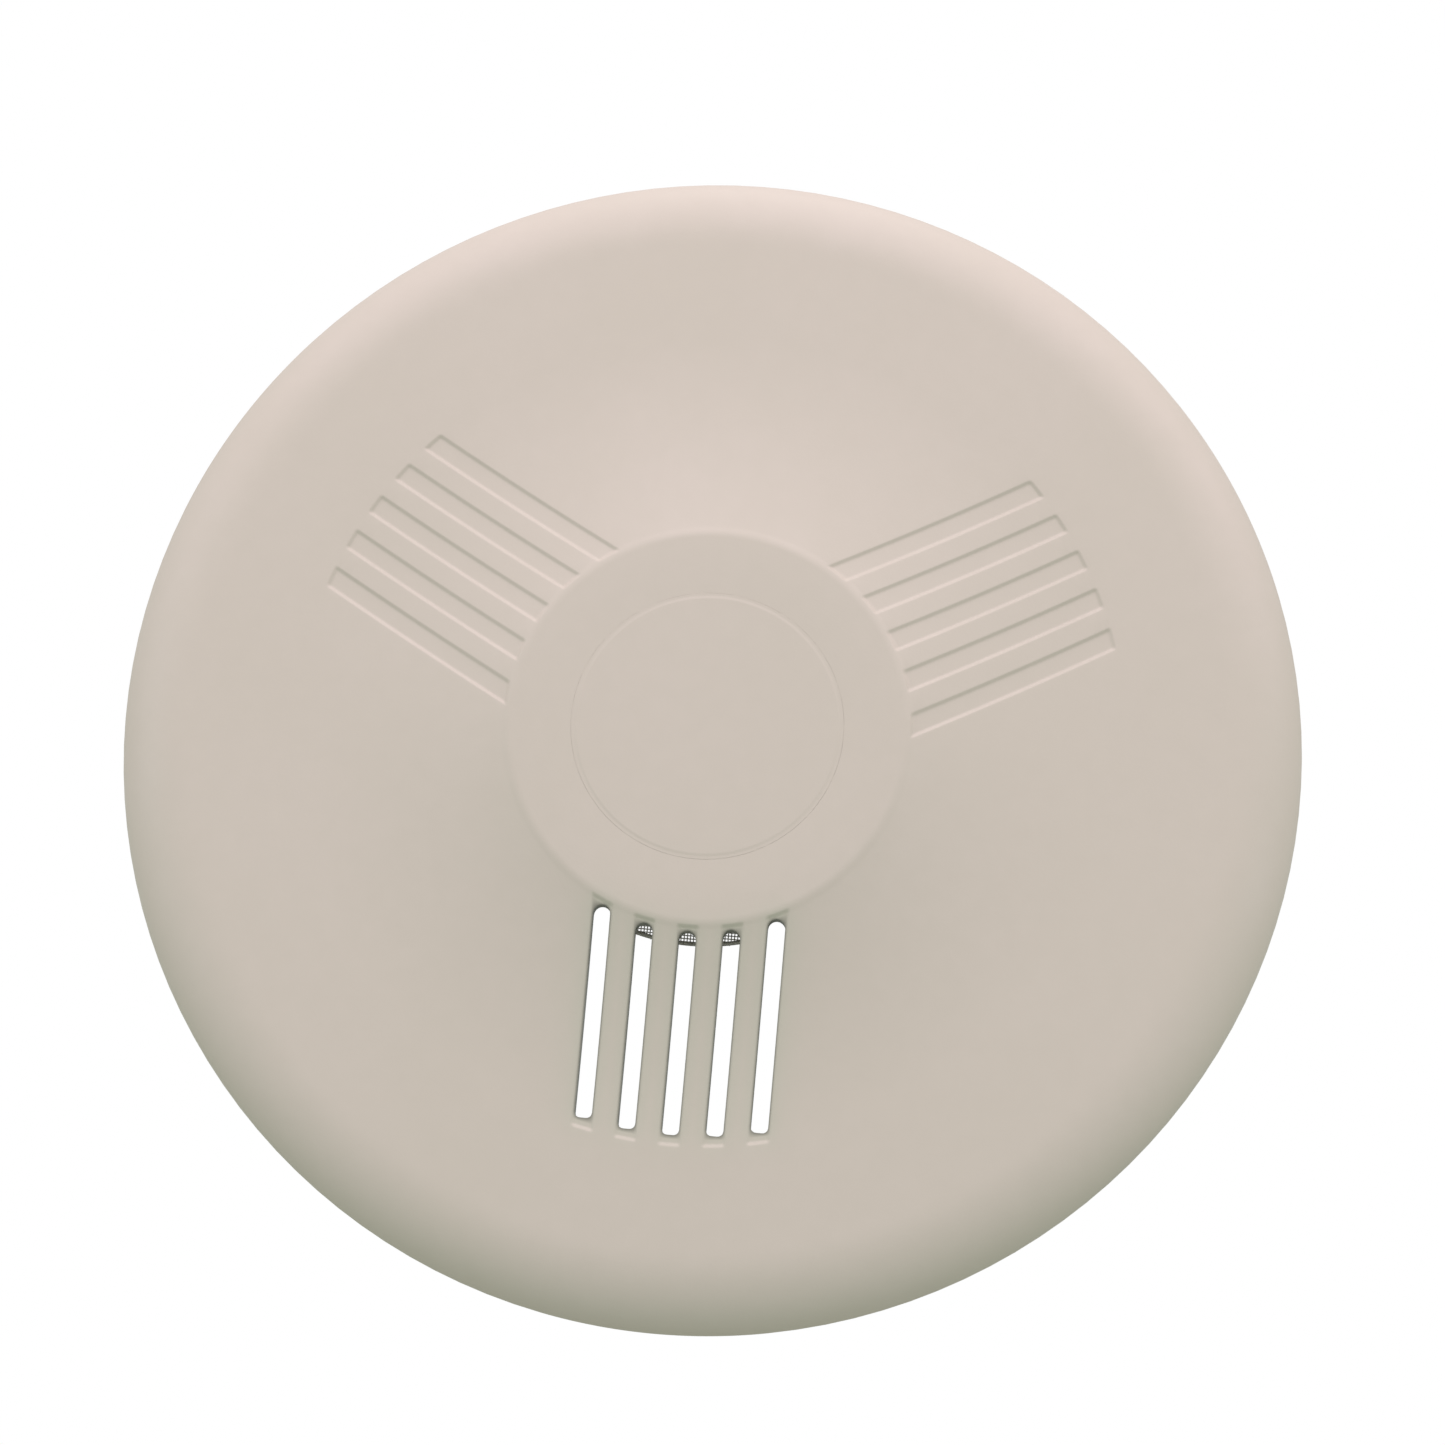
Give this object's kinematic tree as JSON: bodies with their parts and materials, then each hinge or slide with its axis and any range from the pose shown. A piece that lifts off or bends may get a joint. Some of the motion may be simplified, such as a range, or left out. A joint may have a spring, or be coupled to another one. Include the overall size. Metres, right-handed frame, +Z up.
{
  "type": "carbon monoxide detector",
  "caption": "Round wall-mounted carbon monoxide detector: wide cream cover with a central push button, radial groove groups and open vents, on a twist-lock base.",
  "frame": {"origin": "on the wall, at the centre of the base plate's back face", "axes": "+Z up the wall, face looks along -Y into the room, +X to the right as seen from the room"},
  "size_m": [0.1524, 0.0396, 0.1524],
  "materials": {
    "cover_cream": "fine satin moulding grain",
    "base_white": "satin moulding grain",
    "gasket_foam": "open-cell foam",
    "board_green": "solder-mask lacquer",
    "chip_black": "moulded epoxy",
    "sounder_black": "satin",
    "holder_black": "satin",
    "relay_blue": "gloss",
    "capacitor_sleeve": "shrink sleeve",
    "bead_glass": "clear",
    "cell_steel": "drawn can",
    "charcoal": "pressed granules",
    "screen_grey": "woven wire",
    "spring_brass": "rolled strip",
    "zinc_steel": "zinc plated",
    "nickel_plate": "nickel plated",
    "led_green": "tinted epoxy",
    "led_red": "tinted epoxy",
    "clear_acrylic": "polished",
    "switch_white": "satin"
  },
  "bodies": {
    "base": {"base_plate": "base_white", "tamper_magnet": "nickel_plate", "terminal_contact_1": "spring_brass", "terminal_contact_2": "spring_brass", "terminal_contact_3": "spring_brass", "terminal_contact_4": "spring_brass", "terminal_screw_1": "zinc_steel", "terminal_screw_2": "zinc_steel", "terminal_screw_3": "zinc_steel", "terminal_screw_4": "zinc_steel"},
    "head": {"front_cover": "cover_cream", "rear_housing": "base_white", "housing_gasket": "gasket_foam", "circuit_board": "board_green", "housing_screw_1": "zinc_steel", "housing_screw_2": "zinc_steel", "housing_screw_3": "zinc_steel", "board_screw_1": "zinc_steel", "board_screw_2": "zinc_steel", "co_cell": "cell_steel", "cell_holder": "holder_black", "charcoal_filter": "charcoal", "insect_screen": "screen_grey", "sounder_case": "sounder_black", "piezo_disc": "spring_brass", "alarm_relay": "relay_blue", "microcontroller": "chip_black", "voltage_regulator": "chip_black", "capacitor_1": "capacitor_sleeve", "capacitor_2": "capacitor_sleeve", "thermistor": "bead_glass", "reed_switch": "bead_glass", "status_led_1": "led_green", "status_led_2": "led_red", "light_guide_1": "clear_acrylic", "light_guide_2": "clear_acrylic", "switch_body": "chip_black", "contact_blade_1": "spring_brass", "contact_blade_2": "spring_brass", "contact_blade_3": "spring_brass", "contact_blade_4": "spring_brass"},
    "test_button": {"test_button": "cover_cream"},
    "switch_plunger": {"switch_plunger": "switch_white"}
  },
  "joints": [
    {"name": "head_twist", "type": "hinge", "parent": "base", "child": "head", "pos_m": [0, 0, 0], "axis": [0, -1, 0], "range_deg": [0, 18]},
    {"name": "test_button_press", "type": "slide", "parent": "head", "child": "test_button", "axis": [0, 1, 0], "range_m": [0, 0.001], "stiffness_N_per_m": 800, "springref_m": -0.002},
    {"name": "switch_plunger_press", "type": "slide", "parent": "head", "child": "switch_plunger", "axis": [0, 1, 0], "range_m": [0, 0.001], "stiffness_N_per_m": 200, "springref_m": -0.001}
  ],
  "couplings": [
    {"joint": "switch_plunger_press", "follows": "test_button_press", "ratio": 1}
  ]
}
